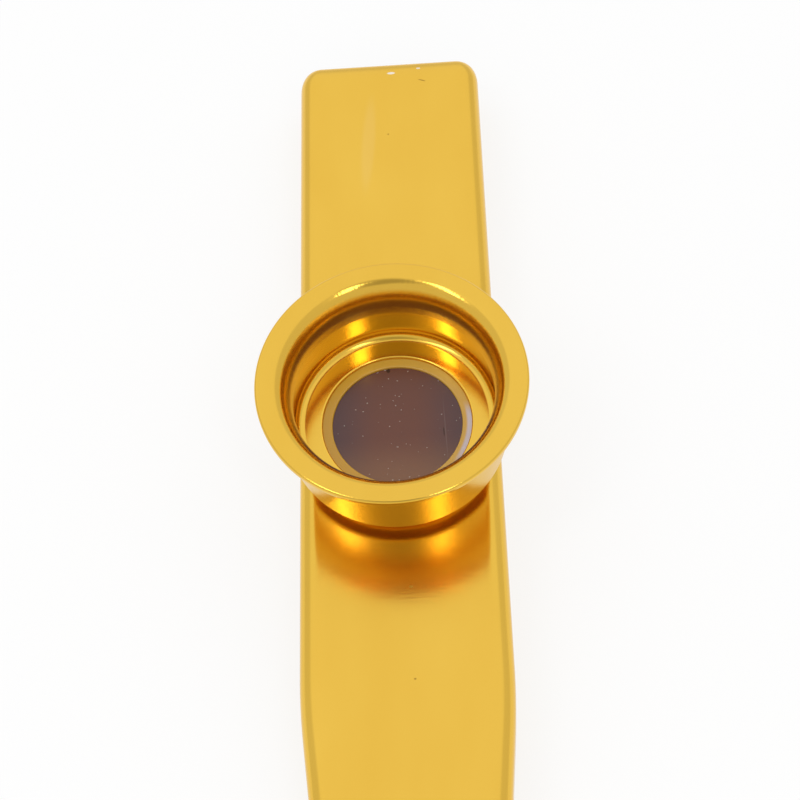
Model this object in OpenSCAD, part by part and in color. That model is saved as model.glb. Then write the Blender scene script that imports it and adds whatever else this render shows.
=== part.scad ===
// Metal kazoo: a flattened aluminium tube with a threaded neck on its flat top,
// a flared bell that screws onto the neck, and a membrane cartridge clamped between them.
// The tube lies along Y with its wide mouth end at +Y; +Z is up; the origin is on the
// resting face, under the axis of the neck, which is nearer to the mouth end.

/* [Body tube] */
// Length from the mouth end to the outlet end
body_len = 120; // [105:1:140]
// Distance from the neck's axis to the mouth end
mouth_reach = 52; // [45:0.5:60]
// Flat strip of the tube's top on each side of the neck's foot
top_margin = 0.05; // [0.05:0.05:3]
// Height of the tube
body_h = 8.5; // [7.5:0.5:13]
// Width that the tube narrows to at its outlet end
outlet_w = 14.5; // [13.5:0.5:20]
// Thickness of the tube's wall
tube_wall = 0.8; // [0.6:0.1:1]
// Radius of the tube's long outer corners
corner_r = 1.9; // [1.7:0.1:3]
// Distance from the neck's axis to where the tube starts to narrow
taper_from = 26.5; // [16:0.5:32]
// Length over which the straight side bends into the taper
taper_blend = 6.5; // [3:0.5:12]
// Length over which each end is rolled inwards
curl_len = 3; // [2:0.2:4.5]
// How far each side is rolled in at the ends
curl_side = 1.5; // [1:0.1:2]
// How far the top and bottom are rolled in at the ends
curl_flat = 0.95; // [0.9:0.05:1.4]

/* [Neck] */
// Thickness of the neck's wall round the cartridge
seat_wall = 0.55; // [0.5:0.05:1]
// Width of the shelf that the cartridge stands on
seat_shelf = 1.2; // [0.8:0.05:1.4]
// How far the cartridge stands above the neck's rim
ring_proud = 0.1; // [0.05:0.05:0.3]
// Height of the neck's rim above the flat top of the tube
neck_rise = 2.45; // [2.4:0.05:3.4]
// Thickness of the spigot that passes through the tube's wall
spigot_wall = 1; // [0.7:0.05:1.1]

/* [Screw thread] */
// Rise of the thread in one turn
pitch = 0.7; // [0.6:0.05:0.8]
// Depth of the thread's ridge
thread_depth = 0.3; // [0.25:0.05:0.35]
// Gap between a ridge and the wall that it faces
thread_gap = 0.15; // [0.11:0.02:0.21]
// How far the bell reaches down over the neck
skirt_cover = 2.2; // [2:0.05:2.6]

/* [Bell] */
// Thickness of the threaded skirt's wall
skirt_wall = 1; // [0.6:0.05:1.2]
// Width of the ledge between the skirt's bore and the recess, which carries the clamp plate
ledge_w = 1.85; // [1.2:0.05:2]
// Thickness of the bell's wall round the throat
bell_wall = 1.3; // [1.2:0.05:1.6]
// Diameter of the flared lip
lip_d = 28; // [26.5:0.5:34]
// Height of the lip's flat face above the flat top of the tube
turret_rise = 12.4; // [12:0.1:17]
// Thickness of the lip
lip_t = 0.9; // [0.6:0.1:1.2]
// Radius of the fold between the lip's face and the throat
fold_r = 2.2; // [1.2:0.05:2.4]

/* [Clamp plate] */
// Thickness of the plate's sheet
plate_t = 0.35; // [0.3:0.05:0.5]
// How far the plate laps over the top of the cartridge's ring
plate_lap = 0.35; // [0.25:0.05:0.9]
// Height of the plate's turned-up rim
plate_rim_h = 5.4; // [3:0.05:6]
// How far the throat's wall is rolled in over the rim
throat_lap = 0.7; // [0.5:0.05:0.8]

/* [Membrane cartridge] */
// Diameter of the free film, across the clear ring's hole
film_d = 13.9; // [11:0.1:17]
// Width of the clear ring from its hole to its outer edge
ring_w = 1.35; // [1.2:0.05:2]
// Height of the clear ring
ring_h = 1.3; // [1:0.1:1.7]
// Thickness of the film
film_t = 0.1; // [0.06:0.02:0.2]
// Depth of the film below the ring's top face
film_drop = 0.3; // [0.2:0.05:0.5]

/* [Hidden] */
$fn = 96;
// One overrun serves every cut, and is how deep an added piece is sunk into its wall
over = 0.3;

// Membrane cartridge
ring_hole_r = film_d / 2;
ring_r = ring_hole_r + ring_w;
// The rebate that the film is bonded into
film_land = 0.6;
film_r = ring_hole_r + film_land;
ring_round = 0.15;

// Neck: its diameters follow from the cartridge that it holds
// Radial clearance of the cartridge in its recess
ring_gap = 0.1;
seat_r = ring_r + ring_gap;
neck_r = seat_r + seat_wall;
airway_r = seat_r - seat_shelf;
spigot_r = airway_r + spigot_wall;
neck_top = body_h + neck_rise;
seat_z = neck_top - (ring_h - ring_proud);
ring_top = seat_z + ring_h;
film_z = ring_top - film_drop - film_t;
// The spigot's lower end is rolled outwards under the tube's wall
swage_t = 0.6;
swage_inset = 0.25;
swage_r = neck_r - swage_inset;
tube_ceiling = body_h - tube_wall;
// Radius of the small rounds on the metal edges
edge_r = 0.2;

// Body tube: its flat top is as wide as the neck's foot and a margin
body_w = 2 * (neck_r + top_margin + corner_r);
outlet_reach = body_len - mouth_reach;
curl_steps = 8;
corner_steps = 9;
taper_steps = 5;
// Radial clearance of the spigot in the tube's hole
spigot_gap = 0.05;

// Screw thread
root_share = 0.6;
crest_share = 0.27;
ridge_root_w = root_share * pitch;
ridge_crest_w = crest_share * pitch;
// How deep a ridge's foot is sunk into its wall
ridge_foot = 0.15;
ring_points = 36;
fade_turns = 0.12;
neck_crest_r = neck_r + thread_depth;
bell_crest_r = neck_r + thread_gap;
bell_bore_r = neck_crest_r + thread_gap;
// Plain length of the neck above its ridge
thread_margin = 0.6;
skirt_z = neck_top - skirt_cover;
// The neck's ridge starts level with the bell's lower edge, and the bell's half a turn's
// rise above it, so that each lies midway between the other's flanks
neck_turns = (skirt_cover - thread_margin) / pitch;
bell_turns = neck_turns - 1 / 2;

// Clamp plate: it presses on the cartridge's ring, and its rim is held in a recess of the
// bell's throat, between a shoulder above it and a ledge a little below it
plate_z = ring_top;
plate_gap = 0.05;
ledge_play = 0.1;
ledge_z = plate_z - ledge_play;
recess_r = bell_bore_r + ledge_w;
plate_r = recess_r - plate_gap;
plate_hole_r = ring_r - plate_lap;
plate_fillet = 1;

// Bell: a threaded skirt, a shoulder under the ledge, and the wider throat with its lip
throat_r = plate_r - throat_lap;
bell_r = throat_r + bell_wall;
skirt_r = bell_bore_r + skirt_wall;
shoulder_t = 0.7;
shoulder_z = ledge_z - shoulder_t;
shoulder_round = 0.25;
skirt_round = 0.3;
lip_r = lip_d / 2;
lip_z = body_h + turret_rise;
underlip_r = 1.2;
rim_round = 0.3;
mouth_chamfer = 0.15;

// Width of the tube at a place along Y: straight to taper_from on the outlet side,
// then a parabola over taper_blend, then a straight taper to outlet_w at the end
taper_slope = (body_w - outlet_w) / (outlet_reach - taper_from - taper_blend / 2);
function past_bend(y) = max(0, -y - taper_from);
function lost_width(y) = let (p = past_bend(y))
    p < taper_blend ? p * p / (2 * taper_blend) : p - taper_blend / 2;
function tube_width(y) = body_w - taper_slope * lost_width(y);

// A rounded rectangle round the tube's middle height, as points in X and Z
function section(w, h, r) = [
    for (corner = [[1, 1, 0], [-1, 1, 90], [-1, -1, 180], [1, -1, 270]])
    for (i = [0 : corner_steps])
    let (a = corner[2] + 90 * i / corner_steps)
    [corner[0] * (w / 2 - r) + r * cos(a), body_h / 2 + corner[1] * (h / 2 - r) + r * sin(a)]];

// Stations along the tube, from the outlet end to the mouth end: each is its place along Y
// and how far the sides and the flats are curled in there
curl_angles = [for (i = [0 : curl_steps]) 90 * i / curl_steps];
bend_ys = [for (i = [0 : taper_steps]) -taper_from - taper_blend * (1 - i / taper_steps)];
function stations(reach, side, flat) = concat(
    [for (i = [curl_steps : -1 : 0]) [curl_len - outlet_reach - reach * sin(curl_angles[i]),
        side * (1 - cos(curl_angles[i])), flat * (1 - cos(curl_angles[i]))]],
    [for (y = bend_ys) [y, 0, 0]],
    [for (i = [0 : curl_steps]) [mouth_reach - curl_len + reach * sin(curl_angles[i]),
        side * (1 - cos(curl_angles[i])), flat * (1 - cos(curl_angles[i]))]]);

// One shell's loops, at an inset from the tube's outer face. The inner shell's curl has
// the outer one's centre, so it stops a wall's thickness short of the end.
function loops(inset, reach, side, flat) = [
    for (s = stations(reach, side, flat))
    let (w = tube_width(s[0]) - 2 * (inset + s[1]), h = body_h - 2 * (inset + s[2]))
    [for (p = section(w, h, corner_r - inset - s[2] / 2)) [p[0], s[0], p[1]]]];

loop_points = 4 * (corner_steps + 1);

// Triangles between loop a and loop b of a list of loops, wound for an outward face
function band(a, b) = [
    for (i = [0 : loop_points - 1])
    let (j = (i + 1) % loop_points)
    for (t = [[a * loop_points + i, a * loop_points + j, b * loop_points + j],
              [a * loop_points + i, b * loop_points + j, b * loop_points + i]]) t];

module tube_shell() {
    outer = loops(0, curl_len, curl_side, curl_flat);
    inner = loops(tube_wall, curl_len - tube_wall, curl_side - tube_wall, curl_flat - tube_wall);
    n = len(outer);
    polyhedron(
        points = [for (l = concat(outer, inner)) each l],
        faces = concat(
            [for (k = [0 : n - 2]) each band(k, k + 1)],
            [for (k = [0 : n - 2]) each band(n + k + 1, n + k)],
            band(n, 0),
            band(n - 1, 2 * n - 1)));
}

// A ring's half section is drawn in X and Y, and turned round Z
module turned() {
    rotate_extrude() children();
}

// The part of a corner square that lies outside its quarter circle
module corner_piece(c, r, sx, sz) {
    translate(c) mirror([sx < 0 ? 1 : 0, 0]) mirror([0, sz < 0 ? 1 : 0])
        difference() {
            square(r + over);
            circle(r);
        }
}

// A helical ridge on a wall of radius wall_r, rising to crest_r, with run-out ends
module ridge(wall_r, crest_r, z, turns) {
    side = sign(crest_r - wall_r);
    steps = round(turns * ring_points);
    foot_r = wall_r - side * ridge_foot;
    foot_w = ridge_root_w + (ridge_root_w - ridge_crest_w) * ridge_foot / abs(crest_r - wall_r);
    buried_r = wall_r - side * ridge_foot / 2;
    rows = [for (i = [0 : steps])
        let (t = turns * i / steps,
             up = min(1, t / fade_turns, (turns - t) / fade_turns),
             c = buried_r + (crest_r - buried_r) * up)
        [for (p = [[foot_r, -foot_w / 2], [c, -ridge_crest_w / 2],
                   [c, ridge_crest_w / 2], [foot_r, foot_w / 2]])
            [p[0] * cos(360 * t), p[0] * sin(360 * t), z + pitch * t + p[1]]]];
    side_faces = [for (i = [0 : steps - 1], k = [0 : 3])
        let (m = (k + 1) % 4)
        for (t = [[4 * i + k, 4 * i + m, 4 * i + 4 + m], [4 * i + k, 4 * i + 4 + m, 4 * i + 4 + k]])
        side > 0 ? t : [t[2], t[1], t[0]]];
    first = [[0, 2, 1], [0, 3, 2]];
    last = [for (f = first) [4 * steps + f[2], 4 * steps + f[1], 4 * steps + f[0]]];
    ends = concat(first, last);
    polyhedron(
        points = [for (r = rows) each r],
        faces = concat(side_faces, [for (f = ends) side > 0 ? f : [f[2], f[1], f[0]]]));
}

module body_tube() {
    color([0.93, 0.75, 0.30])
        difference() {
            tube_shell();
            translate([0, 0, tube_ceiling - over])
                cylinder(h = tube_wall + 2 * over, r = spigot_r + spigot_gap);
        }
}

module neck() {
    color([0.90, 0.70, 0.26]) {
        turned()
            difference() {
                union() {
                    translate([airway_r, body_h]) square([neck_r - airway_r, neck_rise]);
                    translate([airway_r, tube_ceiling - swage_t])
                        square([spigot_r - airway_r, tube_wall + swage_t + over]);
                    translate([airway_r, tube_ceiling - swage_t]) square([swage_r - airway_r, swage_t]);
                }
                translate([airway_r - over, seat_z]) square([seat_shelf + over, ring_h + over]);
                corner_piece([neck_r - edge_r, neck_top - edge_r], edge_r, 1, 1);
                corner_piece([swage_r - edge_r, tube_ceiling - swage_t + edge_r], edge_r, 1, -1);
            }
        ridge(neck_r, neck_crest_r, skirt_z, neck_turns);
    }
}

module bell() {
    color([0.93, 0.75, 0.30]) {
        turned()
            difference() {
                union() {
                    translate([bell_bore_r, skirt_z]) square([skirt_wall, ledge_z - skirt_z]);
                    translate([bell_bore_r, shoulder_z]) square([bell_r - bell_bore_r, shoulder_t]);
                    translate([throat_r, shoulder_z]) square([bell_wall, lip_z - shoulder_z]);
                    translate([throat_r, lip_z - lip_t]) square([lip_r - throat_r, lip_t]);
                    corner_piece([skirt_r + shoulder_round, shoulder_z - shoulder_round],
                        shoulder_round, -1, 1);
                    corner_piece([bell_r + underlip_r, lip_z - lip_t - underlip_r], underlip_r, -1, 1);
                }
                translate([throat_r - over, ledge_z])
                    square([recess_r - throat_r + over, ledge_play + plate_rim_h]);
                corner_piece([throat_r + fold_r, lip_z - fold_r], fold_r, -1, 1);
                corner_piece([lip_r - rim_round, lip_z - rim_round], rim_round, 1, 1);
                corner_piece([lip_r - rim_round, lip_z - lip_t + rim_round], rim_round, 1, -1);
                corner_piece([bell_r - shoulder_round, shoulder_z + shoulder_round], shoulder_round, 1, -1);
                corner_piece([skirt_r - skirt_round, skirt_z + skirt_round], skirt_round, 1, -1);
                corner_piece([bell_bore_r + mouth_chamfer, skirt_z + mouth_chamfer], mouth_chamfer, -1, -1);
            }
        ridge(bell_bore_r, bell_crest_r, skirt_z + pitch / 2, bell_turns);
    }
}

module clamp_plate() {
    color([0.91, 0.72, 0.28])
        turned()
            difference() {
                union() {
                    translate([plate_hole_r, plate_z]) square([plate_r - plate_hole_r, plate_t]);
                    translate([plate_r - plate_t, plate_z]) square([plate_t, plate_rim_h]);
                    corner_piece([plate_r - plate_t - plate_fillet, plate_z + plate_t + plate_fillet],
                        plate_fillet, 1, -1);
                }
                corner_piece([plate_hole_r + edge_r, plate_z + plate_t - edge_r], edge_r, -1, 1);
                corner_piece([plate_r - plate_t + edge_r, plate_z + plate_rim_h - edge_r], edge_r, -1, 1);
                corner_piece([plate_r - edge_r, plate_z + edge_r], edge_r, 1, -1);
            }
}

module membrane_ring() {
    color([0.88, 0.84, 0.80, 0.6])
        turned()
            difference() {
                translate([ring_hole_r, seat_z]) square([ring_r - ring_hole_r, ring_h]);
                translate([ring_hole_r - over, film_z]) square([film_land + over, film_t]);
                corner_piece([ring_hole_r + ring_round, ring_top - ring_round], ring_round, -1, 1);
                corner_piece([ring_r - ring_round, ring_top - ring_round], ring_round, 1, 1);
                corner_piece([ring_r - ring_round, seat_z + ring_round], ring_round, 1, -1);
            }
}

module membrane_film() {
    color([0.45, 0.33, 0.30])
        translate([0, 0, film_z]) cylinder(h = film_t, r = film_r);
}

body_tube();
neck();
bell();
clamp_plate();
membrane_ring();
membrane_film();
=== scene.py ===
# %% [markdown]
# # A gold kazoo
# A metal kazoo is a flattened tube that the player hums into. A short neck stands on its flat
# top, and a flared bell screws onto the neck and clamps a thin film, which buzzes. The packed
# model gives every piece its size and place, so the lesson starts by loading it. Everything
# after that dresses those pieces, in metres and in the same frame, and never moves them.

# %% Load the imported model
from math import cos, pi, radians, sin, tan

import bpy
from mathutils import Matrix, Quaternion, Vector


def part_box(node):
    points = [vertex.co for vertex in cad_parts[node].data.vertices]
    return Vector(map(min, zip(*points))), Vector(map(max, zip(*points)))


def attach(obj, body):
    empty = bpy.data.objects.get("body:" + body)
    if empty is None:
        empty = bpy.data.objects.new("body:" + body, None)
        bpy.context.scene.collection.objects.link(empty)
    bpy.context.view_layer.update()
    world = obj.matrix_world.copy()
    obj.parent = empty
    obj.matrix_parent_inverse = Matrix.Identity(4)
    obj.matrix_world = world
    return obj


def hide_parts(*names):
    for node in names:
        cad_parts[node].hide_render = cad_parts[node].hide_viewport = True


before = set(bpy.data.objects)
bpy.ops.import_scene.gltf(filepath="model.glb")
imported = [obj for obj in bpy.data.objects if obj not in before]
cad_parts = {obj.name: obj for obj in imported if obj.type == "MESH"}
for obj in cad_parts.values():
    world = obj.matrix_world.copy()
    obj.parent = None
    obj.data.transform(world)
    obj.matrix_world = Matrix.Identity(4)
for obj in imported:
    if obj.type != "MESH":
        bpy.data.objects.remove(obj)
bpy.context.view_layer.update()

MM = 0.001
print("nodes:", sorted(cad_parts))

# %% [markdown]
# ## The camera
# A photograph is matched by finding where its camera stood. Here the outlines of the lip and
# the tube gave the place, the point looked at, the roll and the focal length in pixels.
# Blender wants a lens in millimetres instead, for a sensor 36 mm wide, so it is converted.

# %% Camera
photo_px = 800
focal_px = 1648
sensor_mm = 36
camera_place = Vector((8.01, -82.75, 165.8)) * MM
camera_aim = Vector((0.23, 4.25, 8.5)) * MM
camera_roll = radians(-7.6)

camera = bpy.data.objects.new("camera", bpy.data.cameras.new("camera"))
bpy.context.scene.collection.objects.link(camera)
camera.data.sensor_width = sensor_mm
camera.data.lens = focal_px / photo_px * sensor_mm
camera.data.clip_start = 10 * MM
camera.rotation_mode = "QUATERNION"
camera.location = camera_place
straight_look = (camera_aim - camera_place).to_track_quat("-Z", "Y")
camera.rotation_quaternion = straight_look @ Quaternion((0, 0, 1), camera_roll)
bpy.context.scene.camera = camera
bpy.context.scene.view_settings.view_transform = "Standard"
print("lens", round(camera.data.lens, 2), "mm")

# %% [markdown]
# ## Writing node trees as expressions
# Shader and geometry node trees are both made of nodes joined by wires. Placing each Math node
# by hand hides the sum that they make. The two small classes below let Python's own operators
# add the Math nodes, so that a rule reads like the formula that it is.

# %% Node trees as Python expressions
class Wire:
    """An output socket that Python's operators can work on."""

    def __init__(self, graph, socket):
        self.graph = graph
        self.socket = socket

    def __add__(self, other):
        return self.graph.math("ADD", self, other)

    def __radd__(self, other):
        return self.graph.math("ADD", other, self)

    def __sub__(self, other):
        return self.graph.math("SUBTRACT", self, other)

    def __rsub__(self, other):
        return self.graph.math("SUBTRACT", other, self)

    def __mul__(self, other):
        return self.graph.math("MULTIPLY", self, other)

    def __rmul__(self, other):
        return self.graph.math("MULTIPLY", other, self)

    def __truediv__(self, other):
        return self.graph.math("DIVIDE", self, other)

    def __neg__(self):
        return self.graph.math("MULTIPLY", self, -1)

    def output(self, name):
        """Another output of the node that this wire leaves."""
        return Wire(self.graph, self.socket.node.outputs[name])


class Graph:
    """A node tree with short ways to add to it."""

    def __init__(self, tree):
        self.tree = tree

    def add(self, kind, settings=None, inputs=None):
        """Adds a node: its settings first, then the values or wires of its input sockets."""
        node = self.tree.nodes.new(kind)
        for name, value in (settings or {}).items():
            if name == "stops":
                self.set_stops(node.color_ramp.elements, value)
            else:
                setattr(node, name, value)
        for key, value in (inputs or {}).items():
            if isinstance(value, Wire):
                self.tree.links.new(value.socket, node.inputs[key])
            else:
                node.inputs[key].default_value = value
        return Wire(self, node.outputs[0]) if node.outputs else node

    def set_stops(self, elements, stops):
        while len(elements) < len(stops):
            elements.new(1)
        for element, (place, colour) in zip(elements, stops):
            element.position = place
            element.color = colour

    def math(self, operation, *values):
        return self.add("ShaderNodeMath", {"operation": operation}, dict(enumerate(values)))

    def clamp(self, value):
        return self.add("ShaderNodeClamp", None, {"Value": value})

    def ramp(self, value, low, high):
        """0 below low, 1 above high, and a smooth step between them."""
        return self.add("ShaderNodeMapRange", {"interpolation_type": "SMOOTHSTEP"},
                        {"Value": value, "From Min": low, "From Max": high})

    def xyz(self, vector):
        parts = self.add("ShaderNodeSeparateXYZ", None, {0: vector})
        return [parts.output(axis) for axis in "XYZ"]

    def vector(self, x, y, z):
        return self.add("ShaderNodeCombineXYZ", None, {0: x, 1: y, 2: z})


# %% [markdown]
# ## The studio
# Polished metal has hardly a colour of its own: it shows the room. The photograph shows a
# large white panel overhead and behind the object, a dimmer room, and two lamps on the
# camera's side whose images run down the bell. The camera and whoever holds it are dim, and
# the metal shows them too. So the world is a plain grey room with one bright panel and one
# dim patch behind the camera, and two area lamps stand where their images say.

# %% World
room_level = 0.8
panel_level = 1.0
panel_direction = Vector((0, 0.45, 0.89)).normalized()
panel_edge = (cos(radians(47)), cos(radians(37)))
patch_level = 0.45
patch_direction = camera_place.normalized()
patch_edge = (cos(radians(26)), cos(radians(10)))

world = bpy.data.worlds.new("studio")
bpy.context.scene.world = world
world.use_nodes = True
world.node_tree.nodes.clear()
sky = Graph(world.node_tree)
direction = sky.add("ShaderNodeTexCoord").output("Generated")


def towards(target):
    """The cosine of the angle between the sky's point and a direction."""
    return sky.add("ShaderNodeVectorMath", {"operation": "DOT_PRODUCT"},
                   {0: direction, 1: target}).output("Value")


level = room_level + (panel_level - room_level) * sky.ramp(towards(panel_direction), *panel_edge)
level = level + (patch_level - room_level) * sky.ramp(towards(patch_direction), *patch_edge)
background = sky.add("ShaderNodeBackground", None, {"Color": (1, 1, 1, 1), "Strength": level})
sky.add("ShaderNodeOutputWorld", None, {"Surface": background})
print("room", room_level, "panel", panel_level)

# %% Lamps
def from_angles(azimuth, elevation):
    """The direction of a point of the sky. Azimuth 0 is the camera's side, 90 the right."""
    a = radians(azimuth)
    e = radians(elevation)
    return Vector((sin(a) * cos(e), -cos(a) * cos(e), sin(e)))


lamp_distance = 0.6
lamp_elevation = 61
lamp_height = 22
lamp_radiance = 4


def soft_lamp(name, azimuth, width):
    """A rectangular lamp that faces the object and shows its radiance in a mirror."""
    data = bpy.data.lights.new(name, "AREA")
    data.shape = "RECTANGLE"
    data.size = 2 * lamp_distance * tan(radians(width) / 2)
    data.size_y = 2 * lamp_distance * tan(radians(lamp_height) / 2)
    data.energy = lamp_radiance * pi * data.size * data.size_y
    lamp = bpy.data.objects.new(name, data)
    bpy.context.scene.collection.objects.link(lamp)
    lamp.location = from_angles(azimuth, lamp_elevation) * lamp_distance
    lamp.rotation_mode = "QUATERNION"
    lamp.rotation_quaternion = lamp.location.to_track_quat("Z", "Y")


soft_lamp("left_lamp", -66, 9)
soft_lamp("right_lamp", 36, 8)

# %% [markdown]
# ## The floor
# The photograph's ground is plain white. The floor is a pale matt sheet that takes the
# object's shadow. For the camera, and for what metal and plastic show, three quarters of it
# is a steady white, so that the ground stays bright while no extra light falls on the object.

# %% Floor
floor_size = 4.0
floor_white = 1.04
steady_share = 0.75
floor_mesh = bpy.data.meshes.new("floor")
corners = [(x * floor_size / 2, y * floor_size / 2, 0) for x, y in ((-1, -1), (1, -1), (1, 1), (-1, 1))]
floor_mesh.from_pydata(corners, [], [(0, 1, 2, 3)])
floor = bpy.data.objects.new("floor", floor_mesh)
bpy.context.scene.collection.objects.link(floor)

floor_material = bpy.data.materials.new("white_table")
floor_material.use_nodes = True
floor_material.node_tree.nodes.clear()
table = Graph(floor_material.node_tree)
matt = table.add("ShaderNodeBsdfDiffuse", None, {"Color": (0.88, 0.88, 0.88, 1)})
steady = table.add("ShaderNodeEmission", None, {"Color": (1, 1, 1, 1), "Strength": floor_white})
ray = table.add("ShaderNodeLightPath")
seen = table.clamp(ray.output("Is Camera Ray") + ray.output("Is Glossy Ray")
                   + ray.output("Is Transmission Ray"))
surface = table.add("ShaderNodeMixShader", None, {0: seen * steady_share, 1: matt, 2: steady})
table.add("ShaderNodeOutputMaterial", None, {"Surface": surface})
floor_mesh.materials.append(floor_material)
print("floor", floor_size, "m wide")

# %% [markdown]
# ## Gold anodised aluminium
# Anodising grows a clear, dyed layer on aluminium. It looks like a coloured metal, a little
# satin, with the fine lines of brushing or turning still in it. One function makes the finish
# and each piece gets its own grain, because the tube was brushed across and the round
# pieces were turned. The grain is a bump. It tilts reflections by a degree or two, as real
# brushing does, and leaves the outline alone.

# %% Gold finish
gold_colour = (0.79, 0.475, 0.06, 1)
pale_gold_colour = (0.86, 0.55, 0.085, 1)


def new_material(name):
    """An empty material, its graph, and where its pattern is read, in millimetres."""
    material = bpy.data.materials.new(name)
    material.use_nodes = True
    material.node_tree.nodes.clear()
    graph = Graph(material.node_tree)
    place = graph.add("ShaderNodeTexCoord").output("Object")
    place_mm = graph.add("ShaderNodeVectorMath", {"operation": "SCALE"}, {0: place, "Scale": 1 / MM})
    return material, graph, place_mm


def noise(graph, place, scales, detail=2.0):
    """Noise from 0 to 1 whose grains measure 1 / scale millimetres along each axis."""
    stretched = graph.add("ShaderNodeVectorMath", {"operation": "MULTIPLY"}, {0: place, 1: scales})
    return graph.add("ShaderNodeTexNoise", None,
                     {"Vector": stretched, "Scale": 1.0, "Detail": detail}).output("Fac")


def turned_place(graph, place):
    """Radius, height and the way round, for a pattern that follows the lathe."""
    x, y, z = graph.xyz(place)
    radius = graph.math("SQRT", x * x + y * y)
    around = graph.math("ARCTAN2", y, x)
    return graph.vector(radius, z, around)


def blend(graph, share, first, second):
    """A colour between two others."""
    return graph.add("ShaderNodeMix", {"data_type": "RGBA"}, {0: share, 6: first, 7: second}).output(2)


def spot(graph, x, y, centre, size, turn=0.0, soft=0.5):
    """1 inside an ellipse of the X-Y plane and 0 outside it, with a soft edge."""
    along = x - centre[0]
    across = y - centre[1]
    c = cos(radians(turn))
    s = sin(radians(turn))
    u = (along * c + across * s) / size[0]
    v = (across * c - along * s) / size[1]
    return 1 - graph.ramp(graph.math("SQRT", u * u + v * v), 1 - soft, 1.0)


def gold(name, turned, grain_scales, grain_height, roughness, marks=(), throat=None):
    """Gold anodised aluminium. The grain's scales run across, along and up, or by radius,
    height and the way round on a turned piece. Marks are (centre, size, turn, strength,
    colour), and throat is (radius, height, extra roughness) inside and below those two."""
    material, graph, place = new_material(name)
    x, y, z = graph.xyz(place)
    grain_place = turned_place(graph, place) if turned else place
    grain = noise(graph, grain_place, grain_scales)
    cloud = noise(graph, place, (0.12, 0.05, 0.12), 3.0)
    colour = blend(graph, cloud, gold_colour, pale_gold_colour)
    rough = roughness + 0.06 * (grain - 0.5)
    for centre, size, turn, strength, mark_colour in marks:
        mark = spot(graph, x, y, centre, size, turn) * graph.ramp(z, 6.0, 7.5) * strength
        colour = blend(graph, mark, colour, mark_colour)
        rough = rough + 0.25 * mark
    if throat:
        radius = graph.math("SQRT", x * x + y * y)
        within = 1 - graph.ramp(radius, throat[0] - 0.3, throat[0])
        below = 1 - graph.ramp(z, throat[1] - 1.0, throat[1])
        rough = rough + throat[2] * (within * below)
    bump = graph.add("ShaderNodeBump", None, {"Strength": 1.0, "Distance": grain_height * MM,
                                              "Height": grain})
    shader = graph.add("ShaderNodeBsdfPrincipled", None, {
        "Base Color": colour, "Metallic": 1.0, "Roughness": rough, "Normal": bump})
    graph.add("ShaderNodeOutputMaterial", None, {"Surface": shader})
    return material


worn_white = (0.95, 0.92, 0.86, 1)
dark_line = (0.30, 0.17, 0.03, 1)
tube_marks = (
    ((0.35, 50.1), (0.6, 0.25), 0, 0.85, worn_white),
    ((3.7, 50.7), (0.32, 0.2), 0, 0.7, worn_white),
    ((4.1, 48.65), (0.6, 0.09), -20, 0.8, dark_line),
    ((-2.6, 39.4), (1.0, 8.5), -4, 0.035, worn_white),
    ((-0.2, 40.7), (0.13, 0.13), 0, 0.7, dark_line),
    ((0.9, -27.6), (0.16, 0.13), 0, 0.7, dark_line),
    ((0.8, -17.7), (0.3, 0.2), 0, 0.35, dark_line),
)
tube_gold = gold("tube_gold", False, (0.4, 5.0, 5.0), 0.004, 0.2, marks=tube_marks)
neck_gold = gold("neck_gold", True, (4.0, 4.0, 6.0), 0.004, 0.2)
bell_gold = gold("bell_gold", True, (0.8, 1.2, 40.0), 0.011, 0.15, throat=(12.6, 20.8, 0.06))
plate_gold = gold("plate_gold", True, (0.8, 1.2, 30.0), 0.003, 0.16)
print("gold finishes made")

# %% [markdown]
# ## From modifiers to a plain mesh
# Geometry Nodes and modifiers keep a recipe. The finished piece has to be a plain mesh whose
# place is in its points, so its recipe is evaluated once and the result is kept.

# %% Helpers for finished pieces
def new_piece(name, mesh):
    piece = bpy.data.objects.new(name, mesh)
    bpy.context.scene.collection.objects.link(piece)
    return piece


def keep_result(piece):
    """Replaces a piece's mesh by what its modifiers make of it, and removes them."""
    shown = piece.evaluated_get(bpy.context.evaluated_depsgraph_get())
    made = bpy.data.meshes.new_from_object(shown)
    piece.modifiers.clear()
    piece.data = made
    made.name = piece.name
    return piece


def finish_piece(piece, material, body, node, sharp_degrees=40):
    """Smooths a piece between its sharp edges, and hands it to the frame."""
    piece.data.materials.clear()
    piece.data.materials.append(material)
    piece.data.shade_smooth()
    piece.data.set_sharp_from_angle(angle=radians(sharp_degrees))
    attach(piece, body)
    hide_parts(node)
    print(piece.name, len(piece.data.polygons), "faces")


def set_input(modifier, name, value):
    """Sets a geometry nodes input by its socket's identifier."""
    for item in modifier.node_group.interface.items_tree:
        if item.item_type == "SOCKET" and item.in_out == "INPUT" and item.name == name:
            modifier[item.identifier] = value


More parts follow.
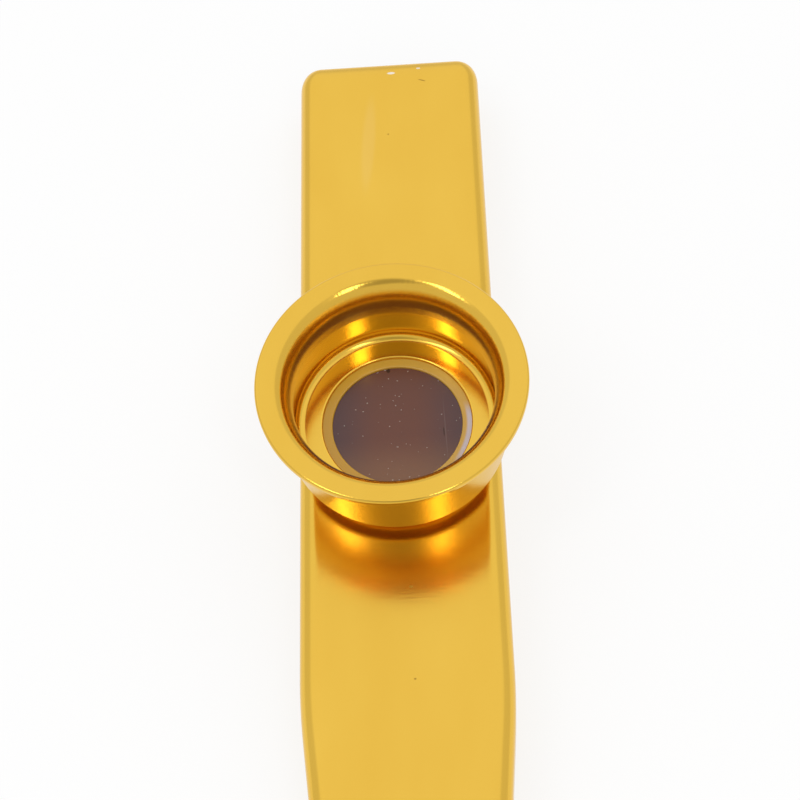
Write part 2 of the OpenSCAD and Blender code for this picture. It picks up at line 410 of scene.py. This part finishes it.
class Recipe(Graph):
    """A geometry nodes tree whose sizes are named inputs."""

    def __init__(self, name, sizes):
        super().__init__(bpy.data.node_groups.new(name, "GeometryNodeTree"))
        for size in sizes:
            self.tree.interface.new_socket(size, in_out="INPUT", socket_type="NodeSocketFloat")
        self.tree.interface.new_socket("Material", in_out="INPUT", socket_type="NodeSocketMaterial")
        self.tree.interface.new_socket("Mesh", in_out="OUTPUT", socket_type="NodeSocketGeometry")
        self.given = self.add("NodeGroupInput")

    def size(self, name):
        return self.given.output(name)

    def deliver(self, mesh):
        """Ends the tree in plain geometry that carries its material."""
        plain = self.add("GeometryNodeRealizeInstances", None, {0: mesh})
        coated = self.add("GeometryNodeSetMaterial", None, {0: plain, "Material": self.size("Material")})
        self.add("NodeGroupOutput", None, {0: coated})

    def cook(self, piece, sizes, material):
        """Puts the recipe on a piece, sets its inputs and keeps the mesh that it makes."""
        modifier = piece.modifiers.new("recipe", "NODES")
        modifier.node_group = self.tree
        for name, value in sizes.items():
            set_input(modifier, name, value)
        set_input(modifier, "Material", material)
        return keep_result(piece)


# %% [markdown]
# ## The tube
# The real tube is drawn round, pressed flat, narrowed towards its outlet and rolled in at both
# ends. Its section is always a rounded rectangle, and only its width changes along the way, so
# the whole shell follows a rule. That is a job for Geometry Nodes: a flat grid is bent into
# the tube, with one coordinate that runs round the section and one that runs along it. Round
# the section, a corner's centre rests while the angle turns, then slides along the side while
# the angle rests.

# %% Tube sizes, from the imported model
tube_low, tube_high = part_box("body_tube")
tube_sizes = {
    "Mouth reach": tube_high.y,
    "Outlet reach": -tube_low.y,
    "Width": tube_high.x - tube_low.x,
    "Height": tube_high.z - tube_low.z,
    "Outlet width": 14.5 * MM,
    "Corner radius": 1.9 * MM,
    "Taper from": 26.5 * MM,
    "Taper blend": 6.5 * MM,
    "Curl length": 3 * MM,
    "Curl side": 1.5 * MM,
    "Curl flat": 0.95 * MM,
}
tube_wall = 0.8 * MM
seat_radius = 8.25 * MM
print({name: round(value / MM, 2) for name, value in tube_sizes.items()})

# %% Tube recipe
corner_steps = 12
flat_steps = 8
curl_steps = 12
middle_steps = 96
around_steps = 4 * (corner_steps + flat_steps)
along_steps = 2 * curl_steps + middle_steps


def tube_recipe():
    g = Recipe("flattened_tube", tube_sizes)
    grid = g.add("GeometryNodeMeshGrid", None, {
        "Size X": 1.0, "Size Y": 1.0, "Vertices X": around_steps + 1, "Vertices Y": along_steps + 1})
    x, y, z = g.xyz(g.add("GeometryNodeInputPosition"))

    # Along: the curl's angle falls to 0 at the outlet end and rises again at the mouth end
    along = y + 0.5
    curl_share = curl_steps / along_steps
    out_angle = g.clamp(1 - along / curl_share) * (pi / 2)
    in_angle = g.clamp((along - 1) / curl_share + 1) * (pi / 2)
    middle = g.clamp((along - curl_share) / (1 - 2 * curl_share)) * 2 - 1
    mouth_reach = g.size("Mouth reach")
    outlet_reach = g.size("Outlet reach")
    straight_half = (mouth_reach + outlet_reach) / 2 - g.size("Curl length")
    turn = g.math("SINE", in_angle) - g.math("SINE", out_angle)
    place = (mouth_reach - outlet_reach) / 2 + middle * straight_half + g.size("Curl length") * turn
    curl = 2 - g.math("COSINE", in_angle) - g.math("COSINE", out_angle)

    # The width: straight, then a parabola, then a straight taper
    past = g.math("MAXIMUM", -place - g.size("Taper from"), 0)
    blend = g.size("Taper blend")
    bent = g.math("MINIMUM", past, blend)
    lost = bent * bent / (2 * blend) + (past - bent)
    slope = (g.size("Width") - g.size("Outlet width")) / (
        outlet_reach - g.size("Taper from") - blend / 2)
    half_width = (g.size("Width") - slope * lost) / 2 - g.size("Curl side") * curl
    half_height = g.size("Height") / 2 - g.size("Curl flat") * curl
    radius = g.size("Corner radius") - g.size("Curl flat") * curl / 2

    # Round: four corners, each followed by its side
    quarter = (x + 0.5) * 4
    corner = g.math("MINIMUM", g.math("FLOOR", quarter + 0.0001), 3)
    within = quarter - corner
    corner_share = corner_steps / (corner_steps + flat_steps)
    angle = (corner + g.clamp(within / corner_share)) * (pi / 2)
    slide = g.add("ShaderNodeMapRange", {"interpolation_type": "SMOOTHERSTEP"}, {
        "Value": within, "From Min": corner_share, "From Max": 1.0})
    reached = corner + slide
    side_x = 1 - 2 * g.clamp(reached) + 2 * g.clamp(reached - 2)
    side_z = 1 - 2 * g.clamp(reached - 1) + 2 * g.clamp(reached - 3)
    bent_place = g.vector(
        side_x * (half_width - radius) + radius * g.math("COSINE", angle),
        place,
        g.size("Height") / 2 + side_z * (half_height - radius) + radius * g.math("SINE", angle))
    shell = g.add("GeometryNodeSetPosition", None, {"Geometry": grid, "Position": bent_place})
    g.deliver(g.add("GeometryNodeMergeByDistance", None, {0: shell, "Distance": 0.001 * MM}))
    return g


tube = new_piece("flattened_tube", bpy.data.meshes.new("flattened_tube"))
tube_recipe().cook(tube, tube_sizes, tube_gold)
print("tube shell:", len(tube.data.vertices), "points")

# %% [markdown]
# ## The tube's wall, rims and seat
# The shell has no thickness yet. Solidify gives it the wall on its inside, Bevel takes the
# sharpness off the two rims, and a Boolean cuts the round hole that the neck's spigot passes
# through. All three stay a recipe until the result is kept.

# %% Tube wall and seat
def is_inside_out(mesh):
    """True if a closed mesh's faces point inwards, by the sign of the volume they enclose."""
    mesh.calc_loop_triangles()
    points = mesh.vertices
    return sum(points[a].co.dot(points[b].co.cross(points[c].co))
               for a, b, c in (t.vertices for t in mesh.loop_triangles)) < 0


def cylinder(name, radius, low, high, steps=128):
    """A closed upright cylinder on the Z axis."""
    ring = [(radius * cos(2 * pi * i / steps), radius * sin(2 * pi * i / steps)) for i in range(steps)]
    points = [(x, y, z) for z in (low, high) for x, y in ring]
    sides = [(i, (i + 1) % steps, steps + (i + 1) % steps, steps + i) for i in range(steps)]
    mesh = bpy.data.meshes.new(name)
    mesh.from_pydata(points, [], sides + [range(steps - 1, -1, -1), range(steps, 2 * steps)])
    return new_piece(name, mesh)


if is_inside_out(tube.data):
    tube.data.flip_normals()
wall = tube.modifiers.new("wall", "SOLIDIFY")
wall.thickness = tube_wall
wall.offset = -1
wall.use_even_offset = True
rims = tube.modifiers.new("rims", "BEVEL")
rims.width = 0.15 * MM
rims.segments = 4
rims.limit_method = "ANGLE"
rims.angle_limit = radians(60)

tube_top = tube_high.z
cutter = cylinder("seat_cutter", seat_radius, tube_top - 2 * tube_wall, tube_top + tube_wall)
seat = tube.modifiers.new("seat", "BOOLEAN")
seat.operation = "DIFFERENCE"
seat.solver = "EXACT"
seat.object = cutter
keep_result(tube)
bpy.data.objects.remove(cutter)
finish_piece(tube, tube_gold, "instrument", "body_tube")

# %% [markdown]
# ## Turned pieces
# The neck, the bell, the plate and the ring are all turned on a lathe, so one half section says
# everything. Each outline is a short list of corners with the radius of their rounding. A
# helper draws the arcs, and puts a close extra point beside each one, so that smooth shading
# doesn't bleed onto the flats. A second helper spins the outline round Z.

# %% Outlines and the lathe
arc_steps = 8
spin_steps = 192


def rounded(corners):
    """The closed outline of a list of (radius, height, rounding) corners, in millimetres."""
    outline = []
    count = len(corners)
    for i, (r, z, rounding) in enumerate(corners):
        here = Vector((r, z))
        back = Vector(corners[i - 1][:2]) - here
        ahead = Vector(corners[(i + 1) % count][:2]) - here
        opening = back.angle(ahead)
        reach = rounding / tan(opening / 2)
        back.normalize()
        ahead.normalize()
        centre = here + (back + ahead).normalized() * (rounding / sin(opening / 2))
        start = here + back * reach - centre
        sweep = pi - opening
        if back.x * ahead.y - back.y * ahead.x > 0:
            sweep = -sweep
        support = min(0.06, rounding)
        outline.append(here + back * (reach + support))
        for k in range(arc_steps + 1):
            turn = Matrix.Rotation(sweep * k / arc_steps, 2)
            outline.append(centre + turn @ start)
        outline.append(here + ahead * (reach + support))
    return [p * MM for p in outline]


def lathe(name, outline):
    """Spins a closed outline, which runs anticlockwise in radius and height, round Z."""
    count = len(outline)
    points = [(p.x * cos(a), p.x * sin(a), p.y)
              for a in (2 * pi * i / spin_steps for i in range(spin_steps)) for p in outline]
    faces = []
    for i in range(spin_steps):
        this = i * count
        after = (i + 1) % spin_steps * count
        faces += [(this + j, after + j, after + (j + 1) % count, this + (j + 1) % count)
                  for j in range(count)]
    mesh = bpy.data.meshes.new(name)
    mesh.from_pydata(points, [], faces)
    if is_inside_out(mesh):
        print(name, "was inside out")
        mesh.flip_normals()
    return new_piece(name, mesh)


# %% [markdown]
# ## The screw thread
# A thread follows a path: a helix with the section of the ridge carried along it. Geometry
# Nodes have both, a Spiral curve and Curve to Mesh. The section's foot lies on the helix, a
# little inside the wall, so scaling it down at the two ends makes the ridge run out smoothly.
# The same recipe serves the neck, where the ridge stands outwards, and the bell, where it
# stands inwards.

# %% Thread recipe
thread_pitch = 0.7 * MM
thread_sizes = {
    "Wall radius": 0.0, "Depth": 0.3 * MM, "Root width": 0.42 * MM, "Crest width": 0.189 * MM,
    "Pitch": thread_pitch, "Turns": 1.0, "Start height": 0.0, "Side": 1.0}


def thread_recipe():
    g = Recipe("thread_ridge", thread_sizes)
    foot = 0.15 * MM
    fade_turns = 0.12
    side = g.size("Side")
    depth = g.size("Depth")
    slope = (g.size("Root width") - g.size("Crest width")) / depth
    helix_radius = g.size("Wall radius") - side * foot
    helix = g.add("GeometryNodeCurveSpiral", None, {
        "Resolution": 48, "Rotations": g.size("Turns"), "Start Radius": helix_radius,
        "End Radius": helix_radius, "Height": g.size("Turns") * g.size("Pitch")})
    upright = g.add("GeometryNodeSetCurveNormal", {"mode": "Z_UP"}, {0: helix})
    section = g.add("GeometryNodeCurvePrimitiveQuadrilateral", {"mode": "TRAPEZOID"}, {
        "Height": depth + foot, "Bottom Width": g.size("Root width") + slope * foot,
        "Top Width": g.size("Crest width"), "Offset": 0.0})
    laid = g.add("GeometryNodeTransform", None, {
        0: section, "Rotation": g.vector(0.0, 0.0, side * (-pi / 2)),
        "Translation": g.vector(side * (depth + foot) / 2, 0.0, 0.0)})
    along = g.add("GeometryNodeSplineParameter").output("Factor") * g.size("Turns")
    rise = g.clamp(g.math("MINIMUM", along, g.size("Turns") - along) / fade_turns)
    ridge = g.add("GeometryNodeCurveToMesh", None, {
        "Curve": upright, "Profile Curve": laid, "Scale": 0.02 + 0.98 * rise, "Fill Caps": True})
    g.deliver(g.add("GeometryNodeTransform", None, {
        0: ridge, "Translation": g.vector(0.0, 0.0, g.size("Start height"))}))
    return g


ridge_recipe = thread_recipe()


def add_thread(piece, material, sizes):
    """Welds a helical ridge to a turned piece."""
    ridge = new_piece(piece.name + "_ridge", bpy.data.meshes.new("ridge"))
    ridge_recipe.cook(ridge, {**thread_sizes, **sizes}, material)
    if is_inside_out(ridge.data):
        ridge.data.flip_normals()
    weld = piece.modifiers.new("weld", "BOOLEAN")
    weld.operation = "UNION"
    weld.solver = "EXACT"
    weld.object = ridge
    keep_result(piece)
    bpy.data.objects.remove(ridge)
    print(piece.name, "thread:", round(sizes["Turns"], 2), "turns")


# %% [markdown]
# ## The neck
# The neck is a turned sleeve. Its spigot goes through the tube's wall and is rolled over
# underneath, and its rim holds the film's cartridge in a recess. The bell covers it down to a
# narrow gap, so it shows only when the bell is unscrewed.

# %% Neck
neck_low, neck_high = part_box("neck")
top_mm = tube_top / MM
rim_mm = neck_high.z / MM
under_mm = neck_low.z / MM
neck_r = 8.95
airway_r = 7.2
spigot_r = 8.2
rolled_r = 8.7
rolled_t = 0.6
seat_depth = 1.2
ring_seat_r = 8.4
neck_ridge = {"Wall radius": neck_r * MM, "Turns": 2.286, "Start height": 8.75 * MM}
neck_outline = rounded([
    (airway_r, under_mm, 0.05), (rolled_r, under_mm, 0.2), (rolled_r, under_mm + rolled_t, 0.05),
    (spigot_r, under_mm + rolled_t, 0.02), (spigot_r, top_mm, 0.02), (neck_r, top_mm, 0.05),
    (neck_r, rim_mm, 0.2), (ring_seat_r, rim_mm, 0.05), (ring_seat_r, rim_mm - seat_depth, 0.03),
    (airway_r, rim_mm - seat_depth, 0.05)])
neck = lathe("neck_sleeve", neck_outline)
add_thread(neck, neck_gold, neck_ridge)
finish_piece(neck, neck_gold, "instrument", "neck")

# %% [markdown]
# ## The bell
# The bell is one turned piece too: a threaded skirt, a shoulder, a throat with a deep recess
# for the plate's rim, and a lip that folds out flat. The fold is what catches the lamps. It
# is drawn with two corners, a tight one at the lip and a slow one down the throat. The
# throat's lower edge stands over the recess and draws a fine dark line.

# %% Bell
bell_low, bell_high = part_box("bell")
skirt_mm = bell_low.z / MM
lip_mm = bell_high.z / MM
lip_r = bell_high.x / MM
bore_r = 9.4
skirt_r = 10.4
bell_r = 11.8
throat_r = 10.5
recess_r = 11.25
shoulder_mm = 10.25
ledge_mm = 10.95
recess_top_mm = 16.45
lip_t = 0.9
fold_out = 1.25
fold_down = 2.0
bell_ridge = {"Wall radius": bore_r * MM, "Turns": 1.786, "Start height": 9.1 * MM, "Side": -1.0}
bell_outline = rounded([
    (bore_r, skirt_mm, 0.15), (skirt_r, skirt_mm, 0.3), (skirt_r, shoulder_mm, 0.25),
    (bell_r, shoulder_mm, 0.25), (bell_r, lip_mm - lip_t, 1.2), (lip_r, lip_mm - lip_t, 0.3),
    (lip_r, lip_mm, 0.3), (throat_r + fold_out, lip_mm, 1.7), (throat_r, lip_mm - fold_down, 4.3),
    (throat_r, recess_top_mm, 0.05), (recess_r, recess_top_mm, 0.05), (recess_r, ledge_mm, 0.05),
    (bore_r, ledge_mm, 0.05)])
bell = lathe("flared_bell", bell_outline)
add_thread(bell, bell_gold, bell_ridge)
finish_piece(bell, bell_gold, "bell", "bell")

# %% [markdown]
# ## The clamp plate
# A thin cup with a round hole lies on the cartridge. Its tall rim is held in the bell's
# recess, with a little play under the throat's edge, because the bell turns on it.

# %% Clamp plate
plate_low, plate_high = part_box("clamp_plate")
plate_mm = plate_low.z / MM
plate_rim_mm = plate_high.z / MM
plate_r = plate_high.x / MM
rim_play = 0.02
plate_t = 0.35
hole_r = 7.95
rim_end_mm = plate_rim_mm - rim_play
plate_outline = rounded([
    (hole_r, plate_mm, 0.05), (plate_r, plate_mm, 0.2), (plate_r, rim_end_mm, 0.05),
    (plate_r - plate_t, rim_end_mm, 0.1), (plate_r - plate_t, plate_mm + plate_t, 1.0),
    (hole_r, plate_mm + plate_t, 0.2)])
plate = lathe("dished_plate", plate_outline)
finish_piece(plate, plate_gold, "clamp", "clamp_plate")

# %% [markdown]
# ## The clear ring
# The film's cartridge is a moulded ring of clear plastic. It lies in a gold cup, so what comes
# through it is gold, and near its right edge it bends in the white of the room instead.
# Both are in its colour, over a little real transmission.

# %% Clear plastic and its ring
def clear_plastic():
    material, graph, place = new_material("clear_plastic")
    x, y, z = graph.xyz(place)
    radius = graph.math("SQRT", x * x + y * y)
    warm = blend(graph, graph.ramp(x, -6.0, 6.0), (0.80, 0.47, 0.05, 1), (0.86, 0.54, 0.10, 1))
    crescent = graph.ramp(radius, 7.3, 7.6) * graph.ramp(x, 5.5, 7.0) * (1 - graph.ramp(y, 0.5, 2.5))
    colour = blend(graph, crescent, warm, (0.82, 0.76, 0.86, 1))
    shader = graph.add("ShaderNodeBsdfPrincipled", None, {
        "Base Color": colour, "Roughness": 0.2, "IOR": 1.49, "Transmission Weight": 0.15})
    graph.add("ShaderNodeOutputMaterial", None, {"Surface": shader})
    return material


ring_low, ring_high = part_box("membrane_ring")
ring_under_mm = ring_low.z / MM
ring_top_mm = ring_high.z / MM
ring_r = ring_high.x / MM
film_low, film_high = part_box("membrane_film")
film_r = film_high.x / MM
film_under_mm = film_low.z / MM
film_top_mm = film_high.z / MM
ring_hole_r = 6.95
ring_outline = rounded([
    (ring_hole_r, ring_under_mm, 0.05), (ring_r, ring_under_mm, 0.15), (ring_r, ring_top_mm, 0.15),
    (ring_hole_r, ring_top_mm, 0.15), (ring_hole_r, film_top_mm, 0.01), (film_r, film_top_mm, 0.01),
    (film_r, film_under_mm, 0.01), (ring_hole_r, film_under_mm, 0.01)])
ring = lathe("clear_ring", ring_outline)
finish_piece(ring, clear_plastic(), "instrument", "membrane_ring")

# %% [markdown]
# ## The film
# The film is a thin skin, stretched flat and glossy. It is purple brown, with a few specks of dust
# and a faint crease. Towards its near edge it turns paler and more golden, which is a painted
# reflection of the bell's gold wall. All of that is in its material.

# %% Film
def film_finish():
    material, graph, place = new_material("film_skin")
    x, y, z = graph.xyz(place)
    brown = blend(graph, graph.ramp(graph.math("ABSOLUTE", x), 1.5, 7.0),
                  (0.17, 0.068, 0.048, 1), (0.12, 0.066, 0.072, 1))
    # Painted reflection: the colour turns paler and more golden towards the near edge, where the bell's
    # gold wall would be mirrored
    painted_bell_reflection = graph.ramp(-y, 1.0, 7.5)
    colour = blend(graph, painted_bell_reflection * 0.7, brown, (0.30, 0.17, 0.10, 1))
    crease = spot(graph, x, y, (5.1, -1.0), (0.09, 5.2), 2, 0.9)
    colour = blend(graph, crease * 0.3, colour, (0.30, 0.22, 0.20, 1))
    cut = spot(graph, x, y, (4.92, -1.1), (0.08, 0.7), 2)
    notch = spot(graph, x, y, (-0.84, 6.7), (0.28, 0.35))
    colour = blend(graph, graph.math("MAXIMUM", cut, notch) * 0.85, colour, (0.04, 0.02, 0.01, 1))
    specks = graph.ramp(noise(graph, place, (3.6, 3.6, 3.6), 0.0), 0.815, 0.85)
    colour = blend(graph, specks * 0.8, colour, (0.6, 0.55, 0.5, 1))
    shader = graph.add("ShaderNodeBsdfPrincipled", None, {
        "Base Color": colour, "Roughness": 0.22 + 0.3 * specks, "IOR": 1.4})
    graph.add("ShaderNodeOutputMaterial", None, {"Surface": shader})
    return material


def disc(name, radius, low, high, rings=24, steps=96):
    """A closed thin disc on the Z axis, with rings of points on both faces."""
    points = [(0, 0, low)]
    for z, order in ((low, range(1, rings + 1)), (high, range(rings, 0, -1))):
        points += [(radius * k / rings * cos(2 * pi * i / steps),
                    radius * k / rings * sin(2 * pi * i / steps), z) for k in order for i in range(steps)]
    points.append((0, 0, high))
    last = len(points) - 1
    top_ring = last - steps
    faces = [(0, 1 + (i + 1) % steps, 1 + i) for i in range(steps)]
    faces += [(last, top_ring + i, top_ring + (i + 1) % steps) for i in range(steps)]
    for k in range(2 * rings - 1):
        start = 1 + k * steps
        faces += [(start + i, start + (i + 1) % steps, start + steps + (i + 1) % steps, start + steps + i)
                  for i in range(steps)]
    mesh = bpy.data.meshes.new(name)
    mesh.from_pydata(points, [], faces)
    return new_piece(name, mesh)


film = disc("thin_film", film_r * MM, film_low.z, film_high.z)
print("film inside out:", is_inside_out(film.data))
finish_piece(film, film_finish(), "instrument", "membrane_film")
